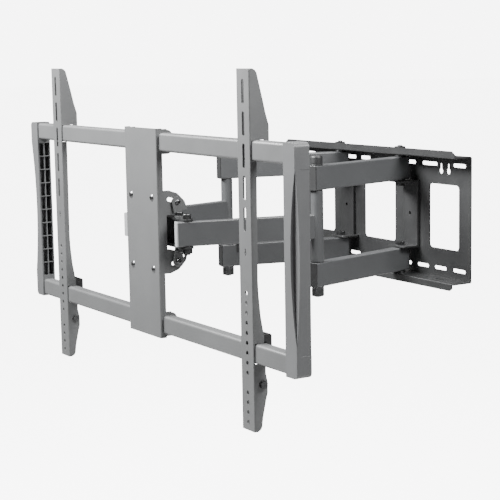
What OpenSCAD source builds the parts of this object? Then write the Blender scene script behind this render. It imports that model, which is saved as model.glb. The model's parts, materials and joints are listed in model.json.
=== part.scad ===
// Full motion wall mount for a large flat television.
// Millimetres, +X to the right seen from the television side, +Y into the wall, +Z up.
// Origin: centre of the wall plate's back face, which lies on the wall.

/* [Wall plate] */
// width of the wall plate
plate_w = 670; // [640:5:760]
// height of the wall plate between its flanges
plate_h = 288; // [284:2:292]
// thickness of the pressed sheet
plate_t = 3; // [2.5:0.5:3.5]
// how far the top and bottom flanges stand off the wall
flange_d = 54; // [52:1:56]
// height of the lips that turn away from the flanges
lip_h = 14; // [8:1:16]

/* [Arms] */
// distance of each wall pivot and each head pin from the middle
pivot_x = 120; // [118:1:124]
// distance of the wall pivots from the wall
pivot_y = 35; // [35:1:36]
// length of each arm between its two pivots
arm_l = 299.2; // [290:0.1:310]
// angle of the arms away from square to the wall as drawn
arm_a = 14; // [8:1:20]
// width of the rear arm tubes
rear_w = 30; // [28:1:30]
// height of every arm tube
tube_h = 54; // [50:1:54]
// width of the front arm tubes
front_w = 20; // [18:1:20]
// wall thickness of the arm tubes
tube_t = 2.5; // [2:0.5:3]
// height of the middle of the rear tubes above and below the arm centre line
rear_z = 108; // [108:1:109]

/* [Television frame] */
// distance from the head pins to the front plane of the uprights
head_y = 43; // [42:1:44]
// drop of the frame below the middle of the wall plate
frame_drop = 3; // [0:1:4]
// width of the spine
spine_w = 148; // [146:1:150]
// height of the spine
spine_h = 458; // [452:2:470]
// vertical distance between the two rails
rail_gap = 399; // [396:1:404]
// height of the rails
rail_h = 40; // [38:1:41]
// depth of the rails
rail_d = 28; // [26:1:28]
// width of the frame over the end caps
frame_w = 1198; // [1160:2:1240]
// width of each end cap
cap_w = 38; // [36:1:42]
// height of the end caps
cap_h = 444; // [442:2:450]
// depth of the end caps
cap_d = 34; // [34:1:36]

/* [Uprights] */
// distance of the right upright from the spine
right_x = 424; // [300:1:500]
// distance of the left upright from the spine
left_x = 440; // [300:1:500]
// length of the uprights
upright_h = 714; // [706:2:730]
// width of the uprights
upright_w = 47; // [44:1:50]
// pitch of the fixing holes
hole_pitch = 20; // [20:1:20]
// diameter of the fixing holes
hole_d = 9; // [7:0.5:10]
// length of the fixing slots
slot_l = 48; // [40:1:50]
// pitch of the fixing slots
slot_pitch = 62; // [60:1:62]

/* [Hidden] */
$fn = 64;
steel = "#3b3d40";
dark = "#2a2b2d";
zinc = "#8f9498";
poly = "#1c1d1f";
th = arm_a;
ph = plate_h / 2;
elbow_x = pivot_x + arm_l * sin(th);
elbow_y = -pivot_y - arm_l * cos(th);
pin_y = -pivot_y - 2 * arm_l * cos(th);
frame_y = pin_y - head_y;
rail_z = rail_gap / 2;
rail_y = 4;
half_w = frame_w / 2;
tube_top = rear_z + tube_h / 2;
tube_bot = rear_z - tube_h / 2;
front_z = tube_h / 2;
rear_tail = 15;
rear_nose = 18;
front_nose = 23;
barrel_r = 14;
shaft_r = 8;
bolt_r = 6;
fit = 0.05;
rib_x = 127;
rib_w = 54;
rib_d = 8;
lug_z = tube_bot - 2;
lug_t = 4;
yoke_z = front_z + 1;
yoke_t = 4;
side_x = spine_w / 2 - 3.5;
side_t = 3;
tilt_y = 11;
screw_y = 45;
screw_z = 65;
tilt_r = sqrt(pow(screw_y - tilt_y, 2) + pow(screw_z, 2));
tilt_a = atan2(screw_z, screw_y - tilt_y);

// ---- shared shapes ----

// rectangle with rounded corners, centred
module rrect(w, h, r) {
    square([w - 2 * r, h], center = true);
    square([w, h - 2 * r], center = true);
    for (x = [-1, 1], y = [-1, 1])
        translate([x * (w / 2 - r), y * (h / 2 - r)]) circle(r = r);
}

// slot with round ends, long side along X
module slot2d(l, w) {
    square([l - w, w], center = true);
    for (x = [-1, 1]) translate([x * (l - w) / 2, 0]) circle(d = w);
}

// plane shape drawn in X and Z, extruded from y0 to y1
module in_xz(y0, y1) {
    translate([0, y1, 0]) rotate([90, 0, 0]) linear_extrude(y1 - y0) children();
}

// plane shape drawn with Y across and Z up, extruded from x0 to x1
module in_yz(x0, x1) {
    translate([x0, 0, 0]) rotate([90, 0, 90]) linear_extrude(x1 - x0) children();
}

// plane shape drawn in X and Y, extruded from z0 to z1
module in_xy(z0, z1) {
    translate([0, 0, z0]) linear_extrude(z1 - z0) children();
}

// upright cylinder between two heights
module post(r, z0, z1) {
    translate([0, 0, z0]) cylinder(r = r, h = z1 - z0);
}

// upright ring between two heights
module ring(ro, ri, z0, z1) {
    difference() {
        post(ro, z0, z1);
        post(ri, z0 - 1, z1 + 1);
    }
}

// hexagonal prism between two heights
module hex(af, z0, z1) {
    translate([0, 0, z0]) cylinder(d = af / cos(30), h = z1 - z0, $fn = 6);
}

// moves children to a wall pivot and turns them into line with the rear arm
module at_rear(s) {
    translate([s * pivot_x, -pivot_y, 0]) rotate([0, 0, s * th]) children();
}

// moves children to an elbow and turns them into line with the front arm
module at_front(s) {
    translate([s * elbow_x, elbow_y, 0]) rotate([0, 0, -s * th]) children();
}

// moves children to the front plane and centre height of the television frame
module at_frame() {
    translate([0, frame_y, -frame_drop]) children();
}

// moves children to the front plane at arm height
module at_head() {
    translate([0, frame_y, 0]) children();
}

// ---- wall plate ----

module plate_cuts() {
    rrect(2 * 61, 150, 9);
    for (s = [-1, 1]) {
        translate([s * 242, 0]) rrect(104, 150, 9);
        for (z = [-121, 121]) {
            translate([s * (plate_w / 2 - 40), z]) slot2d(45, 9);
            translate([s * (z > 0 ? 190 : 229), z]) slot2d(z > 0 ? 56 : 44, 9);
            translate([s * (z > 0 ? 118 : 166), z]) slot2d(43, 9);
        }
        translate([s * 102, -121]) slot2d(43, 9);
        translate([s * 58, 121]) slot2d(40, 9);
        for (x = [231, 257]) translate([s * x, 112]) {
            rotate(90) slot2d(24, 7);
            translate([0, -6]) circle(d = 14);
        }
    }
}

// lip outline, its ends set in or out by e and chamfered by c
module lip2d(c, e) {
    w = plate_w / 2 + e;
    polygon([[-w, ph - plate_t], [w, ph - plate_t], [w, ph + lip_h - c * 0.7],
        [w - c, ph + lip_h], [-w + c, ph + lip_h], [-w, ph + lip_h - c * 0.7]]);
}

module flange(s) {
    mirror([0, 0, s < 0 ? 1 : 0]) difference() {
        union() {
            in_xy(ph - plate_t, ph) translate([-plate_w / 2, -flange_d]) square([plate_w, flange_d]);
            in_xz(-flange_d, -flange_d + plate_t) lip2d(s > 0 ? 12 : 8, s > 0 ? 3 : -6);
        }
        for (x = [-1, 1]) translate([x * pivot_x, -pivot_y, 0]) post(bolt_r, 0, ph + 20);
        for (x = [-264, -200, 200, 264])
            in_xy(ph - 10, ph + 5) translate([x, -flange_d / 2 - 2]) slot2d(40, 9);
    }
}

module wall_plate() color(steel) {
    in_xz(-plate_t, 0) difference() {
        square([plate_w, plate_h], center = true);
        plate_cuts();
    }
    flange(1);
    flange(-1);
}

module wall_rib(s) {
    zt = lug_z - lug_t;
    translate([s * rib_x, 0, 0]) difference() {
        in_xy(-zt, zt) difference() {
            translate([-rib_w / 2, -plate_t - rib_d]) square([rib_w, rib_d]);
            translate([-rib_w / 2 + 2.5, -plate_t - rib_d + 2.5]) square([rib_w - 5, rib_d]);
        }
        in_xz(-plate_t - rib_d - 1, -plate_t) circle(d = 8);
    }
}

module wall_rib_right() color(steel) wall_rib(1);

module wall_rib_left() color(steel) wall_rib(-1);

module lug2d() {
    d = pivot_y + 15 - plate_t;
    difference() {
        union() {
            translate([-22, -d]) square([56, d]);
            translate([-34, -d + 12]) square([12, d - 12]);
            translate([-22, -d + 12]) circle(r = 12);
        }
        translate([0, -pivot_y + plate_t]) circle(r = bolt_r);
    }
}

module pivot_lugs() color(steel) {
    for (s = [-1, 1], z = [lug_z - lug_t, -lug_z])
        translate([s * pivot_x, -plate_t, 0]) in_xy(z, z + lug_t)
            scale([s, 1]) lug2d();
}

// ---- wall pivots ----

module each_pivot() {
    for (s = [-1, 1], m = [0, 1])
        translate([s * pivot_x, -pivot_y, 0]) mirror([0, 0, m]) children();
}

module wall_pivot_bolts() color(zinc) {
    each_pivot() {
        post(bolt_r, lug_z - lug_t, ph + 18);
        hex(19, lug_z - lug_t - 9, lug_z - lug_t);
    }
}

module wall_pivot_nuts() color(zinc) {
    each_pivot() difference() {
        hex(24, ph + 3, ph + 15);
        post(bolt_r, ph, ph + 30);
    }
}

module wall_pivot_washers() color(zinc) {
    each_pivot() {
        ring(15, bolt_r, ph, ph + 3);
        ring(12, bolt_r, tube_top + 2, ph - plate_t);
    }
}

// ---- rear arms ----

// flanged bush pressed into a tube, flange outside
module bush(ro, ri, z, len, rf, ft) {
    ring(ro, ri, z - len, z);
    ring(rf, ri, z, z + ft);
}

module rear_tube(s, m) {
    at_rear(s) mirror([0, 0, m]) difference() {
        translate([0, rear_tail, rear_z]) rotate([90, 0, 0])
            linear_extrude(rear_tail + arm_l + rear_nose) difference() {
                rrect(rear_w, tube_h, 3);
                rrect(rear_w - 2 * tube_t, tube_h - 2 * tube_t, 1);
            }
        post(9, 0, tube_top + 5);
        translate([0, -arm_l, 0]) post(shaft_r, 0, tube_top + 5);
    }
}

module rear_tube_upper_right() color(steel) rear_tube(1, 0);

module rear_tube_lower_right() color(steel) rear_tube(1, 1);

module rear_tube_upper_left() color(steel) rear_tube(-1, 0);

module rear_tube_lower_left() color(steel) rear_tube(-1, 1);

// push-in plug for the end of a tube, face outward along -Y
module plug(w, h, t, deep) {
    in_xz(-2.5, 0) rrect(w, h, 3);
    in_xz(0, deep) difference() {
        rrect(w - 2 * t, h - 2 * t, 1);
        square([w - 2 * t - 4, h - 2 * t - 4], center = true);
    }
}

module rear_plugs(s) {
    at_rear(s) for (z = [-rear_z, rear_z]) {
        translate([0, -arm_l - rear_nose, z]) plug(rear_w, tube_h, tube_t, 8);
        translate([0, rear_tail, z]) rotate(180) plug(rear_w, tube_h, tube_t, 5);
    }
}

module rear_plugs_right() color(poly) rear_plugs(1);

module rear_plugs_left() color(poly) rear_plugs(-1);

module wall_bushes(s) {
    at_rear(s) for (m = [0, 1]) mirror([0, 0, m]) {
        bush(9, bolt_r + fit, tube_top, 10, 12, 2);
        mirror([0, 0, 1]) bush(9, bolt_r + fit, -tube_bot, 10, 12, 2);
    }
}

module wall_bushes_right() color(poly) wall_bushes(1);

module wall_bushes_left() color(poly) wall_bushes(-1);

module elbow_shaft(s) {
    translate([s * elbow_x, elbow_y, 0]) post(shaft_r, -tube_top - 24, tube_top + 14);
}

module elbow_shaft_right() color(zinc) elbow_shaft(1);

module elbow_shaft_left() color(zinc) elbow_shaft(-1);

module elbow_cap(s) {
    translate([s * elbow_x, elbow_y, tube_top]) rotate_extrude() difference() {
        union() {
            square([13.5, 18]);
            square([8.5, 23]);
            translate([8.5, 18]) circle(r = 5);
        }
        translate([-20, 0]) square([20 + shaft_r, 14]);
        translate([-20, -5]) square([20, 40]);
    }
}

module elbow_cap_right() color(poly) elbow_cap(1);

module elbow_cap_left() color(poly) elbow_cap(-1);

module elbow_nut(s) {
    translate([s * elbow_x, elbow_y, 0]) difference() {
        union() {
            post(14, -tube_top - 4, -tube_top);
            hex(24, -tube_top - 22, -tube_top - 4);
        }
        post(shaft_r, -tube_top - 30, 0);
    }
}

module elbow_nut_right() color(zinc) elbow_nut(1);

module elbow_nut_left() color(zinc) elbow_nut(-1);

// saddle clips that hold a cable on top of the lower left tube
module cable_clips() color(poly) {
    at_rear(-1) for (y = [-arm_l + 33, -arm_l + 173]) translate([0, y, -tube_bot])
        rotate([90, 0, 0]) linear_extrude(15) difference() {
            translate([-rear_w / 2 - 2, -20]) square([rear_w + 4, 32]);
            translate([-rear_w / 2, -21]) square([rear_w, 21]);
            translate([-rear_w / 2 + 3, 2]) square([rear_w - 6, 8]);
            translate([-3, 5]) square([6, 10]);
        }
}

// ---- front arms ----

module front_tube(s) {
    at_front(s) difference() {
        rotate([90, 0, 0]) linear_extrude(arm_l + front_nose) difference() {
            rrect(front_w, tube_h, 3);
            rrect(front_w - 2 * tube_t, tube_h - 2 * tube_t, 1);
        }
        post(barrel_r, -front_z - 5, front_z + 5);
        translate([0, -arm_l, 0]) post(7.5, -front_z - 5, front_z + 5);
    }
}

module front_tube_right() color(steel) front_tube(1);

module front_tube_left() color(steel) front_tube(-1);

module elbow_barrel(s) {
    translate([s * elbow_x, elbow_y, 0]) ring(barrel_r, 10, -tube_bot + 2, tube_bot - 2);
}

module elbow_barrel_right() color(steel) elbow_barrel(1);

module elbow_barrel_left() color(steel) elbow_barrel(-1);

module elbow_bushes(s) {
    translate([s * elbow_x, elbow_y, 0]) for (m = [0, 1]) mirror([0, 0, m])
        bush(10, shaft_r + fit, tube_bot - 2, 18, 13.5, 1.9);
}

module elbow_bushes_right() color(poly) elbow_bushes(1);

module elbow_bushes_left() color(poly) elbow_bushes(-1);

module head_bushes(s) {
    at_front(s) translate([0, -arm_l, 0]) for (m = [0, 1]) mirror([0, 0, m])
        bush(7.5, bolt_r + fit, front_z, 12, 10, 0.95);
}

module head_bushes_right() color(poly) head_bushes(1);

module head_bushes_left() color(poly) head_bushes(-1);

module front_plug(s) {
    at_front(s) translate([0, -arm_l - front_nose, 0]) plug(front_w, tube_h, tube_t, 8);
}

module front_plug_right() color(zinc) front_plug(1);

module front_plug_left() color(zinc) front_plug(-1);

// ---- head ----

module yoke2d() {
    difference() {
        union() {
            translate([0, head_y]) square([2 * pivot_x, 26], center = true);
            for (s = [-1, 1]) translate([s * pivot_x, head_y]) circle(r = 13);
        }
        for (s = [-1, 1]) {
            translate([s * pivot_x, head_y]) circle(r = bolt_r);
            translate([s * 85, screw_y]) circle(r = 4);
        }
    }
}

module yoke() color(dark) at_head() {
    in_xy(yoke_z, yoke_z + yoke_t) yoke2d();
    in_xy(-yoke_z - yoke_t, -yoke_z) yoke2d();
    in_xy(-yoke_z, yoke_z) translate([-60, head_y + 9]) square([120, 4]);
}

// teardrop lug with a foot, the lug stands up at x = 73 to 77
module tilt_lug() {
    z0 = yoke_z + yoke_t;
    c = sqrt(1 - pow(6 / 25, 2));
    in_yz(73, 77) difference() {
        union() {
            translate([screw_y, screw_z]) circle(r = 13);
            polygon([[screw_y - 7, z0], [screw_y + 7, z0],
                [screw_y + 13 * c, screw_z - 3], [screw_y - 13 * c, screw_z - 3]]);
        }
        translate([screw_y, screw_z]) circle(r = 4);
    }
    in_xy(z0, z0 + 4) difference() {
        translate([77, screw_y - 10]) square([17, 20]);
        translate([85, screw_y]) circle(r = 4);
    }
}

module each_lug() {
    at_head() for (x = [0, 1], z = [0, 1]) mirror([x, 0, 0]) mirror([0, 0, z]) children();
}

module tilt_lugs() color(steel) each_lug() tilt_lug();

module lug_bolts() color(zinc) {
    each_lug() translate([85, screw_y, 0]) {
        post(4, yoke_z - 9, yoke_z + 8);
        post(7.5, yoke_z + 8, yoke_z + 16);
        ring(6, 4, yoke_z - 7, yoke_z);
    }
}

module tilt_screws() color(zinc) {
    each_lug() translate([0, screw_y, screw_z]) rotate([0, 90, 0]) {
        post(4, 58, 77);
        post(6.5, 77, 81);
    }
}

module tilt_nuts() color(zinc) {
    each_lug() translate([0, screw_y, screw_z]) rotate([0, 90, 0]) difference() {
        hex(13, 60, 67);
        post(4, 50, 80);
    }
}

module tilt_washers() color(poly) {
    each_lug() translate([0, screw_y, screw_z]) rotate([0, 90, 0]) ring(12, 4, side_x + 0.05, 73);
}

module head_pins() color(zinc) {
    at_head() for (s = [-1, 1]) translate([s * pivot_x, head_y, 0]) {
        post(bolt_r, -yoke_z - yoke_t - 14, yoke_z + yoke_t);
        post(9, yoke_z + yoke_t, yoke_z + yoke_t + 11);
    }
}

module head_nuts() color(zinc) {
    at_head() for (s = [-1, 1]) translate([s * pivot_x, head_y, 0]) difference() {
        hex(18, -yoke_z - yoke_t - 11, -yoke_z - yoke_t);
        post(bolt_r, -60, 0);
    }
}

// ---- tilt bracket and spine ----

module arc_slot(a0, a1, w) {
    n = 6;
    for (i = [0:n - 1]) {
        b0 = a0 + (a1 - a0) * i / n;
        b1 = a0 + (a1 - a0) * (i + 1) / n;
        bm = (b0 + b1) / 2;
        translate([tilt_r * cos(bm), tilt_r * sin(bm)]) rotate(bm)
            square([w, tilt_r * 2 * tan((b1 - b0) / 2) + 0.6], center = true);
    }
    for (a = [a0, a1]) translate([tilt_r * cos(a), tilt_r * sin(a)]) circle(d = w);
}

// D-shaped side with a round bay at its middle and one curved slot above and below it
module tilt_side2d() {
    difference() {
        polygon([[0, -91], [28, -91], [48, -84], [66, -66], [73, -46],
            [73, 46], [66, 66], [48, 84], [28, 91], [0, 91]]);
        hull() for (a = [-13, 13]) translate([tilt_y, 0]) rotate(a)
            translate([28.5 - tilt_y, -yoke_z - yoke_t - 1.5])
                square([29.5, 2 * (yoke_z + yoke_t + 1.5)]);
        translate([48.5, -46.3]) square([30, 92.6]);
        translate([tilt_y, 0]) {
            arc_slot(tilt_a - 9, tilt_a + 15, 9);
            arc_slot(-tilt_a - 9, -tilt_a + 13, 9);
        }
    }
}

module tilt_bracket() color(dark) at_head() {
    difference() {
        in_xz(0, 3) square([2 * side_x, 182], center = true);
        each_bolt() in_xz(-1, 5) circle(r = 4);
    }
    for (x = [-side_x, side_x - side_t]) in_yz(x, x + side_t) tilt_side2d();
}

module each_bolt() {
    for (x = [-48, 48], z = [-78.5, 78.5])
        translate([x, 0, z - frame_drop]) children();
}

module carriage_bolts() color(zinc) at_head() each_bolt() {
    in_xz(-3, 14) circle(r = 4);
    translate([0, -3, 0]) rotate([90, 0, 0]) rotate_extrude() intersection() {
        translate([0, -6.5]) circle(r = 10.5);
        square([8, 4]);
    }
}

module carriage_nuts() color(zinc) at_head() each_bolt() {
    rotate([-90, 0, 0]) difference() {
        hex(13, 3, 10);
        post(4, 0, 20);
    }
}

module spine_side2d() {
    difference() {
        union() {
            translate([0, -spine_h / 2]) square([11.5, spine_h]);
            for (z = [-1, 1]) translate([0, z * rail_z]) {
                translate([0, -26]) square([24, 54]);
                translate([24, 0]) square([28, 26], center = true);
                for (c = [-1, 1]) translate([24, c * 12]) circle(r = 14);
            }
        }
        for (z = [-1, 1]) translate([rail_y + rail_d / 2, z * rail_z]) rrect(rail_d, rail_h, 6);
    }
}

module spine() color(steel) at_frame() {
    difference() {
        in_xz(-3, 0) square([spine_w, spine_h], center = true);
        for (x = [-48, 48], z = [-78.5, 78.5]) translate([x, 0, z]) in_xz(-5, 5) circle(r = 4);
    }
    for (x = [-spine_w / 2, spine_w / 2 - 3]) in_yz(x, x + 3) spine_side2d();
}

// ---- rails and end caps ----

module rail(s) {
    at_frame() translate([0, rail_y + rail_d / 2, s * rail_z]) in_yz(-half_w + 8, half_w - 8)
        difference() {
            rrect(rail_d, rail_h, 6);
            rrect(rail_d - 4, rail_h - 4, 4);
        }
}

module rail_upper() color(steel) rail(1);

module rail_lower() color(steel) rail(-1);

// outline of a cap in X and Z, its inner edge at x = 0
module cap2d(w, h, r) {
    translate([0, -h / 2]) square([w - r, h]);
    translate([w / 2, -h / 2 + r]) square([w / 2, h - 2 * r]);
    for (z = [-1, 1]) translate([w - r, z * (h / 2 - r)]) circle(r = r);
}

module end_cap(s) {
    x0 = half_w - cap_w;
    at_frame() scale([s, 1, 1]) difference() {
        translate([x0, 0, 0]) in_xz(0, cap_d) cap2d(cap_w, cap_h, 10);
        // lens-shaped rebate along the outer front edge, deepest at its middle
        intersection() {
            translate([half_w - 17 + 809, 0, 5]) rotate([90, 0, 0])
                cylinder(r = 809, h = 80, center = true, $fn = 720);
            translate([half_w - 30, 9.2 - 1705, 5]) rotate([0, 90, 0])
                cylinder(r = 1705, h = 60, $fn = 1440);
        }
        // shallow panel in the outer side
        translate([half_w - 0.8, 12, -179]) cube([5, cap_d, 351]);
        // open bays between the moulded ribs, reached from the inner side
        for (i = [-4.5:1:4.5]) translate([x0 - 1, 3.5, i * 34 - 16]) {
            cube([cap_w - 21, 13, 32]);
            translate([0, 15, 0]) cube([cap_w - 4, cap_d - 21, 32]);
        }
        // pockets for the ends of the rails
        for (z = [-1, 1]) translate([0, rail_y + rail_d / 2, z * rail_z])
            in_yz(x0 - 1, half_w - 8) rrect(rail_d, rail_h, 6);
        // holes for the screws into the rails
        for (z = [-1, 1]) translate([half_w - 18, 0, z * rail_z]) in_xz(20, 50) circle(r = 2);
    }
}

module end_cap_right() color(poly) end_cap(1);

module end_cap_left() color(poly) end_cap(-1);

module cap_screws() color(zinc) at_frame() {
    for (s = [-1, 1], z = [-1, 1]) translate([s * (half_w - 18), 0, z * rail_z]) {
        in_xz(rail_y + rail_d, cap_d) circle(r = 2);
        in_xz(cap_d, cap_d + 2.5) circle(r = 4);
    }
}

// ---- uprights ----

// side of an upright, Y across and Z up, with a hook for the top rail and a seat for the lower one
module upright_side2d() {
    z = rail_z;
    h = upright_h / 2;
    e = rail_h / 2 + 0.5;
    difference() {
        polygon([[0, -h], [8, -h], [15, -h + 4], [18, -h + 10], [20, -330], [28, -294], [32, -280],
            [32, -258], [28, -240], [28, -z - e], [3.5, -z - e], [3.5, -z + e], [25, -z + e],
            [25, -164], [18, -123], [14, -80], [13, -53], [14.5, 150], [14.5, z - e], [3.5, z - e],
            [3.5, z + e], [rail_y + rail_d + 0.5, z + e], [rail_y + rail_d + 0.5, z + e - 7],
            [42, z + e - 7], [44, z + e - 4], [44, 248], [37, 271], [31, 297], [18, 349],
            [14, h - 3], [8, h], [0, h]]);
    }
}

module upright(x) {
    w = upright_w / 2;
    at_frame() translate([x, 0, 0]) {
        in_xz(0, 2.5) difference() {
            square([upright_w - 5, upright_h], center = true);
            for (i = [0:4]) translate([0, 65 + slot_pitch * i]) rotate(90) slot2d(slot_l, 9);
            for (i = [4:17]) if (i != 13) translate([0, -hole_pitch * i]) circle(d = hole_d);
            circle(d = 7);
            rotate(90) slot2d(16, 3.5);
        }
        in_yz(-w, -w + 2.5) upright_side2d();
        in_yz(w - 2.5, w) difference() {
            upright_side2d();
            translate([20, -262]) circle(r = 3);
        }
    }
}

module upright_right() color(steel) upright(right_x);

module upright_left() color(steel) upright(-left_x);

// sliding latch that closes behind the lower rail
module latch(x) {
    z0 = -rail_z + rail_h / 2 + 1;
    y0 = rail_y + rail_d + 1;
    at_frame() translate([x, 0, 0]) {
        difference() {
            in_yz(-18, 18) polygon([[6, z0], [y0, z0], [y0, z0 - 10], [47, z0 - 10], [47, z0 + 12],
                [44, z0 + 15], [6, z0 + 15]]);
            translate([0, 28, z0 - 1]) in_yz(-13, 13) square([9, 12]);
        }
        translate([0, 14, 0]) post(2.5, z0 + 15, z0 + 45);
    }
}

module latch_right() color(poly) latch(right_x);

module latch_left() color(poly) latch(-left_x);

// guide in which the latch stem slides, fixed between the sides of an upright
module latch_guide(x) {
    z0 = -rail_z + rail_h / 2 + 1;
    w = upright_w / 2 - 2.5;
    at_frame() translate([x, 0, 0]) difference() {
        translate([-w, 2.5, z0 + 30]) cube([2 * w, 11 + 4.5, 8]);
        translate([0, 14, 0]) post(2.5 + fit, z0, z0 + 60);
    }
}

module latch_guide_right() color(poly) latch_guide(right_x);

module latch_guide_left() color(poly) latch_guide(-left_x);

// hand screw that locks an upright, turned from its right side
module lock_screw(x) {
    w = upright_w / 2;
    at_frame() translate([x, 20, -262]) rotate([0, 90, 0]) difference() {
        union() {
            post(3 - fit, w - 14, w + 0.1);
            post(8, w + 0.1, w + 8);
        }
        for (a = [0:45:315]) rotate([0, 0, a]) translate([8.6, 0, 0]) post(1.8, w + 2, w + 9);
    }
}

module lock_screw_right() color(zinc) lock_screw(right_x);

module lock_screw_left() color(zinc) lock_screw(-left_x);

wall_plate();
wall_rib_right();
wall_rib_left();
pivot_lugs();
wall_pivot_bolts();
wall_pivot_nuts();
wall_pivot_washers();
rear_tube_upper_right();
rear_tube_lower_right();
rear_tube_upper_left();
rear_tube_lower_left();
rear_plugs_right();
rear_plugs_left();
wall_bushes_right();
wall_bushes_left();
elbow_shaft_right();
elbow_shaft_left();
elbow_cap_right();
elbow_cap_left();
elbow_nut_right();
elbow_nut_left();
cable_clips();
front_tube_right();
front_tube_left();
elbow_barrel_right();
elbow_barrel_left();
elbow_bushes_right();
elbow_bushes_left();
head_bushes_right();
head_bushes_left();
front_plug_right();
front_plug_left();
yoke();
tilt_lugs();
lug_bolts();
tilt_screws();
tilt_nuts();
tilt_washers();
head_pins();
head_nuts();
tilt_bracket();
carriage_bolts();
carriage_nuts();
spine();
rail_upper();
rail_lower();
end_cap_right();
end_cap_left();
cap_screws();
upright_right();
upright_left();
latch_right();
latch_left();
latch_guide_right();
latch_guide_left();
lock_screw_right();
lock_screw_left();
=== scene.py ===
"""Full motion wall mount: detailed pieces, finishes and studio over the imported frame."""

import json
import math

import bmesh
import bpy
from mathutils import Matrix, Vector


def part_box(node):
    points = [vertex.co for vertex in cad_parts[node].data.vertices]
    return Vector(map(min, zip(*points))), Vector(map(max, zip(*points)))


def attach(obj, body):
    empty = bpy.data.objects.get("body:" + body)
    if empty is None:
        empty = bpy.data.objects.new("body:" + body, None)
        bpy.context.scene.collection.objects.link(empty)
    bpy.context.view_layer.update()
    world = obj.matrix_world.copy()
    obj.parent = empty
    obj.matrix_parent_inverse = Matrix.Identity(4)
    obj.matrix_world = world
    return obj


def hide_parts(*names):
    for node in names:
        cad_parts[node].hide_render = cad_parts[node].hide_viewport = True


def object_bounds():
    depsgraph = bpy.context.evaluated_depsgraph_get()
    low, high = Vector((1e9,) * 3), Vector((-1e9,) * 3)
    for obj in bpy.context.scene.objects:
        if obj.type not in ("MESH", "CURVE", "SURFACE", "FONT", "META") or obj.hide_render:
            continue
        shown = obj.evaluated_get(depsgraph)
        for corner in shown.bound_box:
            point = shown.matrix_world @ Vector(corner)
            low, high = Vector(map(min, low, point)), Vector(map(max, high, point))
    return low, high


bl_info = {
    "name": "Full Motion Wall Mount",
    "version": (1, 0, 0),
    "blender": (4, 5, 0),
    "location": "View3D > Sidebar > Mount",
    "description": "Builds a dual-arm television wall mount piece by piece",
    "category": "Add Mesh",
}

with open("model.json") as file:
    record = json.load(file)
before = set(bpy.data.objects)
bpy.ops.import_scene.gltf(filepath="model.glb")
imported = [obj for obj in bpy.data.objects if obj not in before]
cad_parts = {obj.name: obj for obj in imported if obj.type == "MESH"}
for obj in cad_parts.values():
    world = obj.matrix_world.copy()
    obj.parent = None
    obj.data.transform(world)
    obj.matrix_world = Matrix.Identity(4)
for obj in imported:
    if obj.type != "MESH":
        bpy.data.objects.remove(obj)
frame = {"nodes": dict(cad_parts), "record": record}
CAD_BOX = [list(corner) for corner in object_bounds()]
BODY_OF = {n: body for body, members in frame["record"]["behaviour"]["bodies"].items() for n in members}
SLOT_OF = {part["node"]: part["material_slot"] for part in frame["record"]["subparts"]}
SIDES = ("right", "left")
# rounding of the edges of moulded, turned and machined pieces, in metres
BUSH_EDGE = 0.0003
WASHER_EDGE = 0.0004
BARREL_EDGE = 0.0005
GUIDE_EDGE = 0.0006
LATCH_EDGE = 0.0008
PLUG_EDGE = 0.0009
CAP_EDGE = 0.0011
# finishes that have no other use
PLUG_GREY = (0.28, 0.285, 0.29)
PLUG_GREY_EDGE = (0.34, 0.345, 0.35)
NYLON = (0.022, 0.022, 0.023)
NYLON_EDGE = (0.03, 0.03, 0.031)


# ---- values a maker would change ----

class SheetSizes(bpy.types.PropertyGroup):
    """Sizes of the pressed and welded steel."""
    bend: bpy.props.FloatProperty(
        name="Bend radius", description="Outer radius of the bends in pressed sheet",
        default=0.0032, min=0.0005, max=0.006, subtype="DISTANCE", unit="LENGTH")
    burr: bpy.props.FloatProperty(
        name="Edge break", description="Rounding of cut sheet edges under the coating",
        default=0.0005, min=0.0001, max=0.0012, subtype="DISTANCE", unit="LENGTH")


class FastenerSizes(bpy.types.PropertyGroup):
    """Sizes shared by the bolts and nuts."""
    pitch: bpy.props.FloatProperty(
        name="Thread pitch", description="Distance between thread crests",
        default=0.0015, min=0.0008, max=0.0025, subtype="DISTANCE", unit="LENGTH")
    depth: bpy.props.FloatProperty(
        name="Thread depth", description="Depth of the thread below the shank",
        default=0.0008, min=0.0003, max=0.0012, subtype="DISTANCE", unit="LENGTH")
    chamfer: bpy.props.FloatProperty(
        name="Corner chamfer", description="Chamfer on the corners of nuts and heads",
        default=0.0012, min=0.0004, max=0.002, subtype="DISTANCE", unit="LENGTH")


class Finishes(bpy.types.PropertyGroup):
    """Colours of the coated steel, moulded plastic and plated fasteners."""
    # Charcoal coat of the arms and wall plate. It is set darker than the frame coat partly as painted shade on
    # the wall plate, which stands back from the lamps
    arm_coat_and_shade: bpy.props.FloatVectorProperty(
        name="Arm coat", description="Charcoal powder coat of arms and wall plate",
        default=(0.062, 0.064, 0.066), min=0, max=1, size=3, subtype="COLOR")
    frame_coat: bpy.props.FloatVectorProperty(
        name="Frame coat", description="Charcoal powder coat of the television frame",
        default=(0.105, 0.107, 0.108), min=0, max=1, size=3, subtype="COLOR")
    # Black coat of the tilting head, partly painted shade: its darkness stands in for the shadow inside the
    # head between its plates
    black_coat_and_shade: bpy.props.FloatVectorProperty(
        name="Head coat", description="Black powder coat of the tilting head",
        default=(0.020, 0.0205, 0.021), min=0, max=1, size=3, subtype="COLOR")
    plastic: bpy.props.FloatVectorProperty(
        name="Moulded plastic", description="Plugs, clips and latches",
        default=(0.020, 0.0205, 0.021), min=0, max=1, size=3, subtype="COLOR")
    cap_plastic: bpy.props.FloatVectorProperty(
        name="End cap plastic", description="The tall moulded caps at the ends of the rails",
        default=(0.105, 0.107, 0.109), min=0, max=1, size=3, subtype="COLOR")
    plating: bpy.props.FloatVectorProperty(
        name="Plating", description="Dark zinc plating of the fasteners",
        default=(0.16, 0.162, 0.165), min=0, max=1, size=3, subtype="COLOR")


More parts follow.
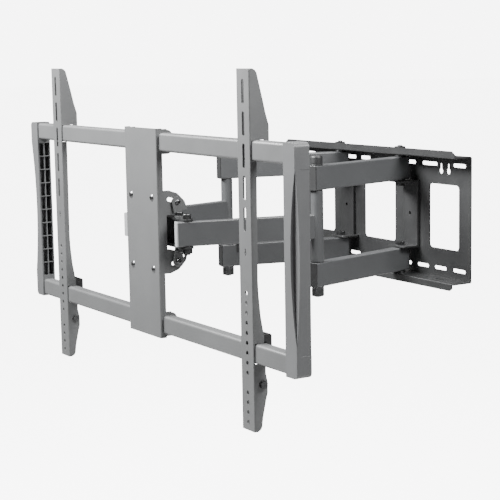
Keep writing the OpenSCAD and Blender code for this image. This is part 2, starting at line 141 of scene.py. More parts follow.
class StageSizes(bpy.types.PropertyGroup):
    """Camera, lamps and floor."""
    camera_from_frame: bpy.props.FloatVectorProperty(
        name="Camera place", description="Camera from the middle of the television frame's front",
        default=(2.7031, -1.4183, 0.3856), size=3, subtype="TRANSLATION", unit="LENGTH")
    azimuth: bpy.props.FloatProperty(
        name="Azimuth", description="Turn of the view from square on",
        default=math.radians(57.91), subtype="ANGLE", unit="ROTATION")
    dip: bpy.props.FloatProperty(
        name="Dip", description="How far the camera looks down",
        default=math.radians(8.07), subtype="ANGLE", unit="ROTATION")
    roll: bpy.props.FloatProperty(
        name="Roll", description="Tilt of the horizon",
        default=math.radians(-1.03), subtype="ANGLE", unit="ROTATION")
    lens: bpy.props.FloatProperty(
        name="Lens", description="Focal length on a 36 mm sensor, in millimetres", default=99.97)
    ambient: bpy.props.FloatProperty(
        name="Ambient", description="Even light from all round on the mount", default=0.07, min=0, max=2)
    surround: bpy.props.FloatProperty(
        name="Surround", description="Brightness of the pale surround", default=7.0, min=0, max=20)
    drop: bpy.props.FloatProperty(
        name="Floor drop", description="Floor below the lowest point of the mount",
        default=0.55, subtype="DISTANCE", unit="LENGTH")


GROUPS = {"mount_sheet": SheetSizes, "mount_fasteners": FastenerSizes,
          "mount_finishes": Finishes, "mount_stage": StageSizes}


def setting(group):
    """The property group of that name on the scene."""
    return getattr(bpy.context.scene, group)


# ---- finishes ----

def new_finish(name):
    """A material with its shader, its node tree and its object coordinates."""
    finish = bpy.data.materials.new(name)
    finish.use_nodes = True
    tree = finish.node_tree
    shader = tree.nodes["Principled BSDF"]
    place = tree.nodes.new("ShaderNodeTexCoord").outputs["Object"]
    return finish, tree, shader, place


def noise(tree, place, scale, detail=2.0, stretch=(1, 1, 1)):
    """Noise over the object's own coordinates, stretched along an axis where asked."""
    if stretch != (1, 1, 1):
        mapping = tree.nodes.new("ShaderNodeMapping")
        mapping.inputs["Scale"].default_value = stretch
        tree.links.new(place, mapping.inputs["Vector"])
        place = mapping.outputs["Vector"]
    node = tree.nodes.new("ShaderNodeTexNoise")
    node.inputs["Scale"].default_value = scale
    node.inputs["Detail"].default_value = detail
    tree.links.new(place, node.inputs["Vector"])
    return node.outputs["Fac"]


def ranged(tree, value, low, high, start=0.3, stop=0.7):
    """The value remapped to run from low to high."""
    node = tree.nodes.new("ShaderNodeMapRange")
    node.inputs["From Min"].default_value = start
    node.inputs["From Max"].default_value = stop
    node.inputs["To Min"].default_value = low
    node.inputs["To Max"].default_value = high
    tree.links.new(value, node.inputs["Value"])
    return node.outputs["Result"]


def blended(tree, factor, first, second):
    """Mix of two colours, either of them a socket or three numbers."""
    node = tree.nodes.new("ShaderNodeMix")
    node.data_type = "RGBA"
    tree.links.new(factor, node.inputs["Factor"])
    for index, colour in ((6, first), (7, second)):
        if isinstance(colour, bpy.types.NodeSocket):
            tree.links.new(colour, node.inputs[index])
        else:
            node.inputs[index].default_value = (*colour, 1)
    return node.outputs[2]


def bumped(tree, height, strength, distance, under=None):
    """Bump from a height, laid over another bump where one is given."""
    node = tree.nodes.new("ShaderNodeBump")
    node.inputs["Strength"].default_value = strength
    node.inputs["Distance"].default_value = distance
    tree.links.new(height, node.inputs["Height"])
    if under:
        tree.links.new(under, node.inputs["Normal"])
    return node.outputs["Normal"]


def shade(colour, factor):
    """The colour made lighter or darker."""
    return tuple(min(1.0, c * factor) for c in colour)


def powder_coat(name, colour, gloss=0.40, worn=False):
    """Fine-textured powder coat: sharp grain over soft orange peel, thin and polished on worn edges."""
    finish, tree, shader, place = new_finish(name)
    mottle = ranged(tree, noise(tree, place, 7, 4), 0, 1)
    tone = blended(tree, mottle, shade(colour, 0.93), shade(colour, 1.06))
    grain = noise(tree, place, 1500, 3)
    speck = ranged(tree, noise(tree, place, 700, 2), 0, 0.35, 0.58, 0.75)
    tone = blended(tree, speck, tone, shade(colour, 1.35))
    rough = ranged(tree, noise(tree, place, 26, 5), gloss - 0.035, gloss + 0.05)
    if worn:
        rubbed = ranged(tree, noise(tree, place, 90, 5), 0, 0.75, 0.50, 0.66)
        tone = blended(tree, rubbed, tone, shade(colour, 2.4))
        rough = ranged(tree, noise(tree, place, 90, 5), gloss, gloss - 0.10, 0.50, 0.66)
    tree.links.new(tone, shader.inputs["Base Color"])
    tree.links.new(rough, shader.inputs["Roughness"])
    peel = bumped(tree, noise(tree, place, 240, 2), 0.10, 0.00025)
    tree.links.new(bumped(tree, grain, 0.28, 0.00012, peel), shader.inputs["Normal"])
    shader.inputs["Specular IOR Level"].default_value = 0.62
    shader.inputs["Coat Weight"].default_value = 0.12
    shader.inputs["Coat Roughness"].default_value = 0.30
    return finish


def moulded(name, colour, gloss=0.46, grain_size=900):
    """Moulded plastic with a spark-eroded grain and faint flow marks."""
    finish, tree, shader, place = new_finish(name)
    flow = ranged(tree, noise(tree, place, 9, 4, (1, 1, 0.25)), 0, 1)
    tree.links.new(blended(tree, flow, shade(colour, 0.92), shade(colour, 1.08)), shader.inputs["Base Color"])
    rough = ranged(tree, noise(tree, place, 40, 4), gloss - 0.04, gloss + 0.05)
    tree.links.new(rough, shader.inputs["Roughness"])
    cells = tree.nodes.new("ShaderNodeTexVoronoi")
    cells.feature = "SMOOTH_F1"
    cells.inputs["Scale"].default_value = grain_size
    tree.links.new(place, cells.inputs["Vector"])
    soft = bumped(tree, noise(tree, place, 60, 2), 0.06, 0.0004)
    tree.links.new(bumped(tree, cells.outputs["Distance"], 0.22, 0.00014, soft), shader.inputs["Normal"])
    shader.inputs["Specular IOR Level"].default_value = 0.5
    return finish


def plated(name, colour, gloss=0.32, stretch=(1, 1, 1)):
    """Plated steel: fine drawn lines, patchy passivation and slight tarnish."""
    finish, tree, shader, place = new_finish(name)
    patch = ranged(tree, noise(tree, place, 160, 5), 0, 1, 0.35, 0.65)
    tone = blended(tree, patch, shade(colour, 0.80), colour)
    stain = ranged(tree, noise(tree, place, 420, 3), 0, 0.5, 0.56, 0.72)
    tone = blended(tree, stain, tone, shade(colour, 0.55))
    tree.links.new(tone, shader.inputs["Base Color"])
    rough = ranged(tree, noise(tree, place, 220, 4), gloss - 0.07, gloss + 0.10)
    tree.links.new(rough, shader.inputs["Roughness"])
    lines = noise(tree, place, 900, 2, stretch)
    tree.links.new(bumped(tree, lines, 0.16, 0.00008), shader.inputs["Normal"])
    shader.inputs["Metallic"].default_value = 1.0
    return finish


def make_finishes():
    """Surface and edge material of every finish, by material slot."""
    tone = setting("mount_finishes")
    made = {}
    # The arm coat is partly painted shade: its darker tone stands in for the wall plate lying out of the lamps'
    # light
    # The head's black coat is partly painted shade for the shadowed inside of the head
    for slot, stem, colour in (("arm_powder", "arm", tone.arm_coat_and_shade), ("frame_powder", "frame", tone.frame_coat),
                               ("black_powder", "head", tone.black_coat_and_shade)):
        made[slot] = (powder_coat(stem + "_powder_coat", colour),
                      powder_coat(stem + "_powder_edge", colour, 0.38, True))
    made["black_plastic"] = (moulded("plug_plastic", tone.plastic),
                             moulded("plug_plastic_edge", shade(tone.plastic, 1.25), 0.38))
    made["cap_plastic"] = (moulded("end_cap_plastic", tone.cap_plastic, 0.42, 1100),
                           moulded("end_cap_plastic_edge", shade(tone.cap_plastic, 1.2), 0.36))
    made["grey_plastic"] = (moulded("tube_plug_plastic", PLUG_GREY, 0.40),
                            moulded("tube_plug_edge", PLUG_GREY_EDGE, 0.36))
    made["nylon"] = (moulded("bush_nylon", NYLON, 0.36, 500),
                     moulded("bush_nylon_edge", NYLON_EDGE, 0.32, 500))
    made["plated_steel"] = (plated("dark_plating", tone.plating, 0.32, (1, 1, 6)),
                            plated("dark_plating_edge", shade(tone.plating, 1.25), 0.26))
    return made


FINISH = {}


def finish_of(slot):
    """The two materials of a slot, surface first and edges second."""
    if not FINISH:
        FINISH.update(make_finishes())
    return FINISH[slot]


# ---- modelling helpers ----

def alone(piece=None):
    """Deselects everything, then selects one object and makes it active."""
    if bpy.context.mode != "OBJECT":
        bpy.ops.object.mode_set(mode="OBJECT")
    bpy.ops.object.select_all(action="DESELECT")
    if piece:
        piece.select_set(True)
        bpy.context.view_layer.objects.active = piece


def open_up(piece, kind="EDGE"):
    """Puts one object in edit mode with nothing selected."""
    alone(piece)
    bpy.ops.object.mode_set(mode="EDIT")
    bpy.ops.mesh.select_mode(type=kind)
    bpy.ops.mesh.select_all(action="DESELECT")


def pick(piece, kind, test):
    """Selects the faces, edges or vertices that pass a test, and returns how many there are."""
    mesh = bmesh.from_edit_mesh(piece.data)
    count = 0
    for group in (mesh.verts, mesh.edges, mesh.faces):
        for item in group:
            item.select = False
    for item in getattr(mesh, kind):
        if test(item):
            item.select_set(True)
            count += 1
    bmesh.update_edit_mesh(piece.data)
    return count


def apply_all(piece):
    """Applies every modifier of a piece in order."""
    alone(piece)
    for modifier in list(piece.modifiers):
        bpy.ops.object.modifier_apply(modifier=modifier.name)


def runs_along(axis, *places):
    """A test for edges parallel to an axis that lie at one of the places, given on the other two axes."""
    others = [a for a in range(3) if a != axis]

    def test(edge):
        a, b = (v.co for v in edge.verts)
        if any(abs(a[o] - b[o]) > 2e-5 for o in others):
            return False
        return any(all(abs(a[o] - p) < 1.2e-4 for o, p in zip(others, place)) for place in places)
    return test


def merged_copy(node, name):
    """A copy of a CAD node with its loose triangles merged into whole flat faces."""
    piece = bpy.data.objects.new(name, frame["nodes"][node].data.copy())
    piece.data.name = name
    bpy.context.scene.collection.objects.link(piece)
    piece.data.materials.clear()
    open_up(piece, "VERT")
    bpy.ops.mesh.select_all(action="SELECT")
    bpy.ops.mesh.remove_doubles(threshold=1.5e-5)
    bpy.ops.mesh.dissolve_limited(angle_limit=math.radians(0.2), use_dissolve_boundaries=False)
    bpy.ops.mesh.select_mode(type="EDGE")
    return piece


def edge_break(piece, width, segments=2, angle=30, smooth_to=40):
    """Rounds every sharp edge a little, gives the rounding the edge finish, and evens the shading."""
    bevel = piece.modifiers.new("edge_break", "BEVEL")
    bevel.width = width
    bevel.segments = segments
    bevel.limit_method = "ANGLE"
    bevel.angle_limit = math.radians(angle)
    bevel.use_clamp_overlap = True
    bevel.material = 1
    weight = piece.modifiers.new("even_normals", "WEIGHTED_NORMAL")
    weight.mode = "FACE_AREA_WITH_ANGLE"
    weight.weight = 60
    alone(piece)
    bpy.ops.object.shade_smooth_by_angle(angle=math.radians(smooth_to))
    apply_all(piece)


def settle(piece, *nodes, slot=None):
    """Gives a finished piece its finish and body, and lets it stand for its CAD nodes."""
    slot = slot or SLOT_OF[nodes[0]]
    surface, edge = finish_of(slot)
    if not piece.data.materials:
        piece.data.materials.append(surface)
        piece.data.materials.append(edge)
    alone()
    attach(piece, BODY_OF[nodes[0]])
    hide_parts(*nodes)
    return piece


def dressed(node, width, bends=(), bend_radius=0.003, segments=2, slot=None):
    """A CAD node's own shape with real bends and broken edges, in its finish."""
    piece = merged_copy(node, node + "_made")
    for test in bends:
        if pick(piece, "edges", test):
            bpy.ops.mesh.bevel(offset=bend_radius, segments=5, affect="EDGES", profile=0.5)
    alone(piece)
    surface, edge = finish_of(slot or SLOT_OF[node])
    piece.data.materials.append(surface)
    piece.data.materials.append(edge)
    edge_break(piece, width, segments)
    return settle(piece, node, slot=slot)


def turned(name, outline, steps=40, closed=False):
    """A lathe-turned piece about +Z from an outline of (radius, height) pairs."""
    alone()
    bpy.ops.mesh.primitive_plane_add(size=0.01)
    piece = bpy.context.active_object
    piece.name = piece.data.name = name
    bpy.ops.object.mode_set(mode="EDIT")
    bpy.ops.mesh.select_mode(type="VERT")
    bpy.ops.mesh.select_all(action="SELECT")
    bpy.ops.mesh.delete(type="VERT")
    mesh = bmesh.from_edit_mesh(piece.data)
    points = [mesh.verts.new((r, 0, z)) for r, z in outline]
    pairs = list(zip(points, points[1:]))
    if closed:
        pairs.append((points[-1], points[0]))
    for pair in pairs:
        mesh.edges.new(pair).select_set(True)
    bmesh.update_edit_mesh(piece.data)
    bpy.ops.mesh.spin(steps=steps, angle=2 * math.pi, center=(0, 0, 0), axis=(0, 0, 1))
    bpy.ops.mesh.select_all(action="SELECT")
    bpy.ops.mesh.remove_doubles(threshold=2e-6)
    bpy.ops.mesh.dissolve_degenerate(threshold=1e-6)
    bpy.ops.mesh.select_all(action="SELECT")
    bpy.ops.mesh.normals_make_consistent(inside=False)
    alone(piece)
    return piece


def cut_hexagon(piece, across):
    """Cuts six flats on a turned piece, which leaves the curved chamfers at its corners."""
    open_up(piece, "FACE")
    for i in range(6):
        a = math.radians(60 * i)
        out = Vector((math.cos(a), math.sin(a), 0))
        bpy.ops.mesh.select_all(action="SELECT")
        bpy.ops.mesh.bisect(plane_co=out * across / 2, plane_no=out, use_fill=True, clear_outer=True,
                            threshold=1e-7)
    bpy.ops.mesh.select_all(action="SELECT")
    bpy.ops.mesh.normals_make_consistent(inside=False)
    alone(piece)


def cut_socket(piece, across, depth, top):
    """Sinks a hexagonal key socket into the top of a head."""
    alone()
    bpy.ops.mesh.primitive_cylinder_add(vertices=6, radius=across / math.sqrt(3), depth=depth * 2,
                                        location=(0, 0, top))
    key = bpy.context.active_object
    cut = piece.modifiers.new("socket", "BOOLEAN")
    cut.object = key
    cut.operation = "DIFFERENCE"
    cut.solver = "EXACT"
    apply_all(piece)
    bpy.data.objects.remove(key)


def smooth(piece, angle=32):
    """Smooth shading with sharp edges past an angle."""
    alone(piece)
    bpy.ops.object.shade_smooth_by_angle(angle=math.radians(angle))
    return piece


def thread(radius, low, high):
    """Outline of a screw thread between two heights."""
    size = setting("mount_fasteners")
    count = max(2, round((high - low) / size.pitch))
    step = (high - low) / count
    outline = []
    for i in range(count):
        outline += [(radius, low + step * i), (radius - size.depth, low + step * (i + 0.5))]
    return outline + [(radius, high)]


def set_of(name, pattern, places, node):
    """Copies of one pattern piece at several places, joined as the piece that stands for a node."""
    copies = []
    for base, direction in places:
        copy = pattern.copy()
        copy.data = pattern.data.copy()
        bpy.context.scene.collection.objects.link(copy)
        turn = Vector((0, 0, 1)).rotation_difference(Vector(direction)).to_matrix().to_4x4()
        copy.data.transform(Matrix.Translation(base) @ turn)
        copies.append(copy)
    bpy.data.objects.remove(pattern)
    alone()
    for copy in copies:
        copy.select_set(True)
    bpy.context.view_layer.objects.active = copies[0]
    if len(copies) > 1:
        bpy.ops.object.join()
    piece = bpy.context.active_object
    piece.name = piece.data.name = name
    return settle(piece, node)


def solids(node):
    """Boxes of the separate solids of a CAD node, each as its lowest and highest corner."""
    data = frame["nodes"][node].data
    key = {}
    owner = []
    for v in data.vertices:
        owner.append(key.setdefault(tuple(round(c, 6) for c in v.co), len(key)))
    root = list(range(len(key)))

    def find(i):
        while root[i] != i:
            root[i] = root[root[i]]
            i = root[i]
        return i
    for face in data.polygons:
        first = find(owner[face.vertices[0]])
        for v in face.vertices[1:]:
            root[find(owner[v])] = first
    boxes = {}
    for v in data.vertices:
        low, high = boxes.setdefault(find(owner[v.index]), (v.co.copy(), v.co.copy()))
        for i in range(3):
            low[i] = min(low[i], v.co[i])
            high[i] = max(high[i], v.co[i])
    return sorted(boxes.values(), key=lambda b: tuple(round(c, 5) for c in (b[0] + b[1])))


def seats(node, axis, outward):
    """Base point and direction of each solid of a fastener node; outward says which way a solid points."""
    places = []
    for low, high in solids(node):
        base = (low + high) / 2
        way = outward(base)
        base[axis] = low[axis] if way > 0 else high[axis]
        direction = [0, 0, 0]
        direction[axis] = way
        places.append((base, direction))
    return places


def span(node, axis, index=0):
    """Length of one solid of a node along an axis."""
    low, high = solids(node)[index]
    return high[axis] - low[axis]


def sign(value):
    """1 or -1."""
    return 1 if value >= 0 else -1


def hex_outline(across, height, foot=0.0, bore=None):
    """Outline of a chamfered hexagon nut or head, over a thin bearing ring."""
    c = setting("mount_fasteners").chamfer
    r = across / math.sqrt(3)
    points = [(across / 2 * 0.97, 0), (across / 2 * 0.97, foot), (r - c * 0.6, foot), (r, foot + c * 0.5),
              (r, height - c * 0.5), (r - c * 1.6, height)]
    if bore:
        points = [(bore, 0)] + points + [(bore + 0.0008, height), (bore, height - 0.0008)]
    return points


# ---- operators ----

class MOUNT_OT_wall_plate(bpy.types.Operator):
    """Wall plate of pressed sheet with its ribs and pivot lugs"""
    bl_idname = "mount.wall_plate"
    bl_label = "Wall plate"

    def execute(self, context):
        size = setting("mount_sheet")
        low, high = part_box("wall_plate")
        sheet = 0.003
        flange = max(v.co.z for v in frame["nodes"]["wall_plate"].data.vertices if v.co.y > low.y + 0.02)
        back = [runs_along(0, (high.y, flange), (high.y, -flange))]
        front = [runs_along(0, (low.y, flange - sheet), (low.y, sheet - flange))]
        dressed("wall_plate", size.burr, back + front, size.bend)
        for side in SIDES:
            low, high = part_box("wall_rib_" + side)
            corners = [runs_along(2, (low.x, low.y), (high.x, low.y))]
            dressed("wall_rib_" + side, size.burr, corners, size.bend)
        dressed("pivot_lugs", size.burr * 1.2)
        return {"FINISHED"}


class MOUNT_OT_wall_pivots(bpy.types.Operator):
    """Bolts, nuts and washers of the four wall pivots"""
    bl_idname = "mount.wall_pivots"
    bl_label = "Wall pivots"

    def execute(self, context):
        c = setting("mount_fasteners").chamfer
        long = span("wall_pivot_bolts", 2)
        r = 0.006
        head = 0.009
        across = 0.019
        corner = across / math.sqrt(3)
        outline = [(0, 0), (corner - c, 0), (corner, c * 0.6), (corner, head), (r, head), (r, long - 0.022)]
        outline += thread(r, long - 0.020, long - 0.0015) + [(r - 0.0012, long), (0, long)]
        bolt = turned("pivot_bolt", outline, 32)
        cut_hexagon(bolt, across)
        smooth(bolt)
        places = seats("wall_pivot_bolts", 2, lambda p: sign(p.z))
        set_of("wall_pivot_bolt_set", bolt, places, "wall_pivot_bolts")
        across = 0.024
        nut = turned("pivot_nut", hex_outline(across, span("wall_pivot_nuts", 2), 0.0006, r), 48, True)
        cut_hexagon(nut, across)
        smooth(nut)
        places = seats("wall_pivot_nuts", 2, lambda p: sign(p.z))
        set_of("wall_pivot_nut_set", nut, places, "wall_pivot_nuts")
        dressed("wall_pivot_washers", WASHER_EDGE)
        return {"FINISHED"}


class MOUNT_OT_rear_arms(bpy.types.Operator):
    """Rear arms: four box tubes with end plugs, pivot bushes and cable clips"""
    bl_idname = "mount.rear_arms"
    bl_label = "Rear arms"

    def execute(self, context):
        burr = setting("mount_sheet").burr
        for side in SIDES:
            for level in ("upper", "lower"):
                dressed("rear_tube_%s_%s" % (level, side), burr)
            dressed("rear_plugs_" + side, PLUG_EDGE, segments=3)
            dressed("wall_bushes_" + side, BUSH_EDGE)
        dressed("cable_clips", GUIDE_EDGE)
        return {"FINISHED"}


class MOUNT_OT_elbows(bpy.types.Operator):
    """Elbow joints: shafts, domed caps, flanged nuts, barrels and bushes"""
    bl_idname = "mount.elbows"
    bl_label = "Elbows"

    def execute(self, context):
        for side in SIDES:
            self.shaft(side)
            self.cap(side)
            self.nut(side)
            dressed("elbow_barrel_" + side, BARREL_EDGE)
            dressed("elbow_bushes_" + side, BUSH_EDGE)
        return {"FINISHED"}

    def foot(self, node):
        """Middle of the underside of an elbow piece, with its height and its half width."""
        low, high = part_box(node)
        mid = (low + high) / 2
        return Vector((mid.x, mid.y, low.z)), high.z - low.z, (high.x - low.x) / 2

    def shaft(self, side):
        """Long shaft with a thread for the nut at its lower end."""
        node = "elbow_shaft_" + side
        base, long, r = self.foot(node)
        outline = [(0, 0), (r - 0.0016, 0)] + thread(r, 0.0016, 0.0226)
        outline += [(r, long - 0.001), (r - 0.001, long), (0, long)]
        shaft = turned("elbow_shaft", outline, 40)
        smooth(shaft)
        set_of(node + "_made", shaft, [(base, (0, 0, 1))], node)

    def cap(self, side):
        """Domed cap over the top of the shaft, with a groove round its foot."""
        node = "elbow_cap_" + side
        bore = self.foot("elbow_shaft_" + side)[2] + 0.0001
        base, tall, wide = self.foot(node)
        shoulder = 0.0055
        roof = tall - 0.009
        outline = [(0, roof), (bore, roof), (bore, 0), (wide - 0.0006, 0), (wide, 0.0006), (wide, 0.003),
                   (wide - 0.0005, 0.0035), (wide - 0.0005, 0.0045), (wide, 0.005), (wide, tall - 0.006)]
        for i in range(1, 9):
            a = math.radians(90 * i / 8)
            outline.append((wide - shoulder + shoulder * math.cos(a), tall - 0.006 + shoulder * math.sin(a)))
        outline += [(0.0045, tall - 0.0002), (0.004, tall), (0, tall)]
        cap = turned("elbow_cap", outline, 48)
        smooth(cap)
        set_of(node + "_made", cap, [(base, (0, 0, 1))], node)

    def nut(self, side):
        """Flanged nut under the elbow: a round flange that runs into six flats."""
        node = "elbow_nut_" + side
        r = self.foot("elbow_shaft_" + side)[2]
        base, tall, flange = self.foot(node)
        across = 0.024
        collar = 0.0042
        outline = [(r, 0), (flange - 0.0004, 0), (flange, 0.0006), (flange, 0.0026), (flange - 0.0012, 0.0036),
                   (0.0135, collar)] + hex_outline(across, tall, collar)[3:]
        nut = turned("elbow_nut", outline + [(r + 0.0009, tall), (r, tall - 0.0009)], 48, True)
        above = 0.00415
        sides = [Vector((math.cos(a), math.sin(a), 0)) for a in (math.radians(60 * i) for i in range(6))]
        open_up(nut, "FACE")
        for out in sides:
            pick(nut, "faces", lambda f: min(v.co.z for v in f.verts) > above
                 and max(v.co.xy.length for v in f.verts) > 0.0115)
            bpy.ops.mesh.bisect(plane_co=out * across / 2, plane_no=out, use_fill=False, clear_outer=False,
                                threshold=1e-7)
        alone(nut)
        for vert in nut.data.vertices:
            if vert.co.z > above:
                far = max(vert.co.dot(out) for out in sides)
                if far > across / 2:
                    vert.co.xy *= across / 2 / far
        smooth(nut)
        base.z += tall
        set_of(node + "_made", nut, [(base, (0, 0, -1))], node)


class MOUNT_OT_front_arms(bpy.types.Operator):
    """Front arms: box tubes, pin bushes and end plugs"""
    bl_idname = "mount.front_arms"
    bl_label = "Front arms"

    def execute(self, context):
        burr = setting("mount_sheet").burr
        for side in SIDES:
            dressed("front_tube_" + side, burr)
            dressed("head_bushes_" + side, BUSH_EDGE)
            dressed("front_plug_" + side, LATCH_EDGE, segments=3)
        return {"FINISHED"}


class MOUNT_OT_head(bpy.types.Operator):
    """Tilting head: yoke, teardrop lugs, tilt screws and head pins"""
    bl_idname = "mount.head"
    bl_label = "Head"

    def execute(self, context):
        size = setting("mount_sheet")
        dressed("yoke", size.burr)
        dressed("tilt_lugs", size.burr * 1.4, segments=3)
        dressed("tilt_washers", WASHER_EDGE)
        self.lug_bolts()
        self.tilt_screws()
        self.pins()
        return {"FINISHED"}

    def lug_bolts(self):
        """Cap-head bolts that clamp the lugs to the yoke, with their washers."""
        long = span("lug_bolts", 2)
        r = 0.004
        head = 0.0075
        washer = 0.007
        edge = 0.0004
        seat = long - 0.008
        outline = [(0, 0), (r - 0.001, 0)] + thread(r, 0.001, 0.0015)
        outline += [(r, 0.002), (washer - edge, 0.002), (washer, 0.0024), (washer, 0.0086),
                    (washer - edge, 0.009), (r, 0.009), (r, seat), (head - 0.0004, seat),
                    (head, seat + 0.0005), (head, long - 0.0009), (head - 0.0009, long), (0, long)]
        bolt = turned("lug_bolt", outline, 40)
        cut_socket(bolt, 0.006, 0.004, long)
        smooth(bolt)
        set_of("lug_bolt_set", bolt, seats("lug_bolts", 2, lambda p: sign(p.z)), "lug_bolts")

    def tilt_screws(self):
        """Button-head screws and nuts the head tilts on."""
        long = span("tilt_screws", 0)
        r = 0.004
        top = long - 0.004
        rim = 0.0065
        flat = 0.0022
        steepest = math.radians(75)
        button = [(rim - 0.0003, top), (rim, top + 0.0004)]
        for i in range(1, 8):
            a = math.radians(75 * i / 7)
            button.append((flat + (rim - flat) * math.cos(a),
                           top + 0.0004 + 0.0036 * math.sin(a) / math.sin(steepest)))
        outline = [(0, 0), (r - 0.0008, 0)] + thread(r, 0.0008, 0.010) + [(r, top)] + button + [(0, long)]
        screw = turned("tilt_screw", outline, 36)
        cut_socket(screw, 0.005, 0.0026, long)
        smooth(screw)
        set_of("tilt_screw_set", screw, seats("tilt_screws", 0, lambda p: sign(p.x)), "tilt_screws")
        across = 0.013
        nut = turned("tilt_nut", hex_outline(across, span("tilt_nuts", 0), 0.0004, r), 36, True)
        cut_hexagon(nut, across)
        smooth(nut)
        set_of("tilt_nut_set", nut, seats("tilt_nuts", 0, lambda p: -sign(p.x)), "tilt_nuts")

    def pins(self):
        """Cap-head pins through the yoke and the arm ends, with their nuts."""
        long = span("head_pins", 2)
        r = 0.006
        head = 0.009
        seat = long - 0.011
        outline = [(0, 0), (r - 0.001, 0)] + thread(r, 0.001, 0.013)
        outline += [(r, seat), (head - 0.0005, seat), (head, seat + 0.0006), (head, long - 0.0012),
                    (head - 0.0012, long), (0, long)]
        pin = turned("head_pin", outline, 44)
        cut_socket(pin, 0.008, 0.005, long)
        smooth(pin)
        set_of("head_pin_set", pin, seats("head_pins", 2, lambda p: 1), "head_pins")
        across = 0.018
        nut = turned("head_nut", hex_outline(across, span("head_nuts", 2), 0.0005, r), 44, True)
        cut_hexagon(nut, across)
        smooth(nut)
        set_of("head_nut_set", nut, seats("head_nuts", 2, lambda p: -1), "head_nuts")


class MOUNT_OT_frame(bpy.types.Operator):
    """Television frame: tilt bracket, spine, carriage bolts and nuts, and the two rails"""
    bl_idname = "mount.frame"
    bl_label = "Television frame"

    def execute(self, context):
        size = setting("mount_sheet")
        for node in ("tilt_bracket", "spine"):
            low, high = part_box(node)
            dressed(node, size.burr, [runs_along(2, (low.x, low.y), (high.x, low.y))], size.bend)
        for rail in ("rail_upper", "rail_lower"):
            dressed(rail, size.burr)
        self.carriage_bolts()
        return {"FINISHED"}

    def carriage_bolts(self):
        """Dome-head bolts on the front of the spine, with nuts behind."""
        r = 0.004
        long = span("carriage_bolts", 1)
        wide = 0.008
        high = 0.004
        ball = (wide * wide + high * high) / (2 * high)
        rise = math.asin(wide / ball)
        dome = [(wide, long - high)]
        for i in range(1, 11):
            a = rise * (1 - i / 10)
            dome.append((ball * math.sin(a), long - ball + ball * math.cos(a)))
        outline = [(0, 0), (r - 0.0008, 0)] + thread(r, 0.0008, 0.008) + [(r, long - high)] + dome
        bolt = turned("carriage_bolt", outline, 40)
        smooth(bolt, 40)
        set_of("carriage_bolt_set", bolt, seats("carriage_bolts", 1, lambda p: -1), "carriage_bolts")
        across = 0.013
        nut = turned("carriage_nut", hex_outline(across, span("carriage_nuts", 1), 0.0004, r), 36, True)
        cut_hexagon(nut, across)
        smooth(nut)
        set_of("carriage_nut_set", nut, seats("carriage_nuts", 1, lambda p: 1), "carriage_nuts")


class MOUNT_OT_end_caps(bpy.types.Operator):
    """Tall moulded end caps and the screws that hold them"""
    bl_idname = "mount.end_caps"
    bl_label = "End caps"

    def execute(self, context):
        for side in SIDES:
            dressed("end_cap_" + side, CAP_EDGE, segments=3, slot="cap_plastic")
        long = span("cap_screws", 1)
        r = 0.002
        head = 0.004
        top = long - 0.0025
        screw = turned("cap_screw", [(0, 0), (r, 0), (r, top), (head - 0.0002, top), (head, top + 0.0003),
                       (head, top + 0.0012), (head - 0.0012, long), (0, long)], 28)
        cut_socket(screw, 0.003, 0.0016, long)
        smooth(screw)
        set_of("cap_screw_set", screw, seats("cap_screws", 1, lambda p: 1), "cap_screws")
        return {"FINISHED"}


class MOUNT_OT_uprights(bpy.types.Operator):
    """Slotted uprights with their latches, guides and lock screws"""
    bl_idname = "mount.uprights"
    bl_label = "Uprights"

    def execute(self, context):
        size = setting("mount_sheet")
        for side in SIDES:
            low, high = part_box("upright_" + side)
            dressed("upright_" + side, size.burr * 0.8,
                    [runs_along(2, (low.x, low.y), (high.x, low.y))], size.bend * 0.8)
            dressed("latch_" + side, LATCH_EDGE, segments=3)
            dressed("latch_guide_" + side, GUIDE_EDGE)
            dressed("lock_screw_" + side, BARREL_EDGE)
        return {"FINISHED"}


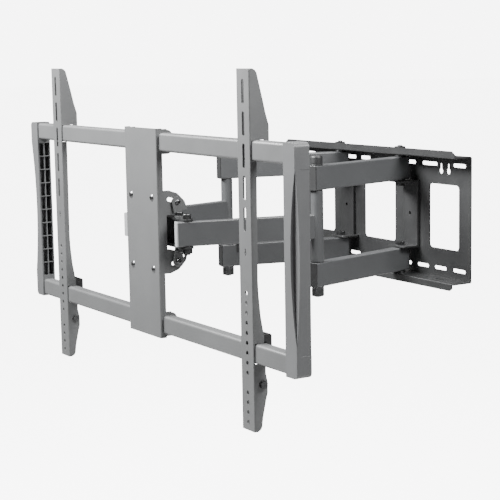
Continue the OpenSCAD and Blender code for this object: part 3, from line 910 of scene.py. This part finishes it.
class MOUNT_OT_stage(bpy.types.Operator):
    """Pale floor, soft studio lamps and camera"""
    bl_idname = "mount.stage"
    bl_label = "Stage"

    def execute(self, context):
        self.floor()
        self.lamps()
        self.camera()
        return {"FINISHED"}

    def floor(self):
        """Pale floor as bright to the eye as the surround, and weak as a source of light."""
        low = CAD_BOX[0]
        alone()
        bpy.ops.mesh.primitive_circle_add(vertices=128, radius=60, fill_type="NGON",
                                          location=(0, -0.4, low[2] - setting("mount_stage").drop))
        floor = bpy.context.active_object
        floor.name = "floor"
        finish = bpy.data.materials.new("pale_floor")
        finish.use_nodes = True
        tree = finish.node_tree
        shader = tree.nodes["Principled BSDF"]
        shader.inputs["Base Color"].default_value = (0.55, 0.55, 0.55, 1)
        shader.inputs["Roughness"].default_value = 0.9
        shader.inputs["Emission Color"].default_value = (1, 1, 1, 1)
        glow = tree.nodes.new("ShaderNodeMath")
        glow.operation = "MULTIPLY"
        glow.inputs[1].default_value = setting("mount_stage").surround * 0.96
        tree.links.new(tree.nodes.new("ShaderNodeLightPath").outputs["Is Camera Ray"], glow.inputs[0])
        tree.links.new(glow.outputs["Value"], shader.inputs["Emission Strength"])
        floor.data.materials.append(finish)

    def lamps(self):
        """A strong soft box high in front, a top lamp, and a side lamp for the faces on the right."""
        world = bpy.data.worlds.new("studio")
        bpy.context.scene.world = world
        world.use_nodes = True
        tree = world.node_tree
        soft = tree.nodes["Background"]
        soft.inputs["Color"].default_value = (1, 1, 1, 1)
        soft.inputs["Strength"].default_value = setting("mount_stage").ambient
        pale = tree.nodes.new("ShaderNodeBackground")
        pale.inputs["Strength"].default_value = setting("mount_stage").surround
        choice = tree.nodes.new("ShaderNodeMixShader")
        seen = tree.nodes.new("ShaderNodeLightPath").outputs["Is Camera Ray"]
        tree.links.new(seen, choice.inputs["Fac"])
        pale.inputs["Color"].default_value = (1, 1, 1, 1)
        tree.links.new(soft.outputs["Background"], choice.inputs[1])
        tree.links.new(pale.outputs["Background"], choice.inputs[2])
        tree.links.new(choice.outputs["Shader"], tree.nodes["World Output"].inputs["Surface"])
        for name, place, aim, wide, tall, power in (
                ("front_box", (-0.5, -1.75, 1.45), (0, -0.66, 1.1), 1.5, 0.7, 300),
                ("top_box", (0.2, 0.0, 1.9), (0.1, -0.3, 0), 1.6, 1.2, 40),
                ("side_box", (1.7, 0.1, 1.3), (0.4, -0.3, 0.95), 1.2, 0.7, 75)):
            lamp = bpy.data.lights.new(name, "AREA")
            lamp.shape = "RECTANGLE"
            lamp.size = wide
            lamp.size_y = tall
            lamp.energy = power
            holder = bpy.data.objects.new(name, lamp)
            bpy.context.scene.collection.objects.link(holder)
            holder.location = place
            holder.rotation_euler = (Vector(aim) - Vector(place)).to_track_quat("-Z", "Y").to_euler()

    def camera(self):
        """The camera at its place in front and to the right of the frame."""
        stage = setting("mount_stage")
        low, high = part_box("upright_right")
        middle = Vector((0, low.y, (low.z + high.z) / 2))
        turn, dip = stage.azimuth, stage.dip
        ahead = Vector((-math.sin(turn) * math.cos(dip), math.cos(turn) * math.cos(dip), -math.sin(dip)))
        right = Vector((math.cos(turn), math.sin(turn), 0))
        up = right.cross(ahead)
        c, s = math.cos(stage.roll), math.sin(stage.roll)
        x, y = c * right + s * up, c * up - s * right
        data = bpy.data.cameras.new("camera")
        data.lens = stage.lens
        data.sensor_width = 36
        data.clip_start = 0.05
        camera = bpy.data.objects.new("camera", data)
        bpy.context.scene.collection.objects.link(camera)
        camera.matrix_world = Matrix.Translation(middle + Vector(stage.camera_from_frame)) @ Matrix(
            (x, y, -ahead)).transposed().to_4x4()
        bpy.context.scene.camera = camera


OPERATORS = (MOUNT_OT_stage, MOUNT_OT_wall_plate, MOUNT_OT_wall_pivots, MOUNT_OT_rear_arms, MOUNT_OT_elbows,
             MOUNT_OT_front_arms, MOUNT_OT_head, MOUNT_OT_frame, MOUNT_OT_end_caps, MOUNT_OT_uprights)


class MOUNT_PT_sidebar(bpy.types.Panel):
    """Lists the pieces of the mount and the values they use"""
    bl_label = "Wall Mount"
    bl_idname = "MOUNT_PT_sidebar"
    bl_space_type = "VIEW_3D"
    bl_region_type = "UI"
    bl_category = "Mount"

    def draw(self, context):
        for operator in OPERATORS:
            self.layout.operator(operator.bl_idname)
        for group, kind in GROUPS.items():
            box = self.layout.box()
            for name in kind.__annotations__:
                box.prop(getattr(context.scene, group), name)


def register():
    for kind in (*GROUPS.values(), *OPERATORS, MOUNT_PT_sidebar):
        bpy.utils.register_class(kind)
    for name, kind in GROUPS.items():
        setattr(bpy.types.Scene, name, bpy.props.PointerProperty(type=kind))


def unregister():
    for name in GROUPS:
        delattr(bpy.types.Scene, name)
    for kind in reversed((*GROUPS.values(), *OPERATORS, MOUNT_PT_sidebar)):
        bpy.utils.unregister_class(kind)


def main():
    """Builds the whole mount."""
    register()
    for operator in OPERATORS:
        group, name = operator.bl_idname.split(".")
        getattr(getattr(bpy.ops, group), name)()
    alone()


if __name__ == "__main__":
    main()
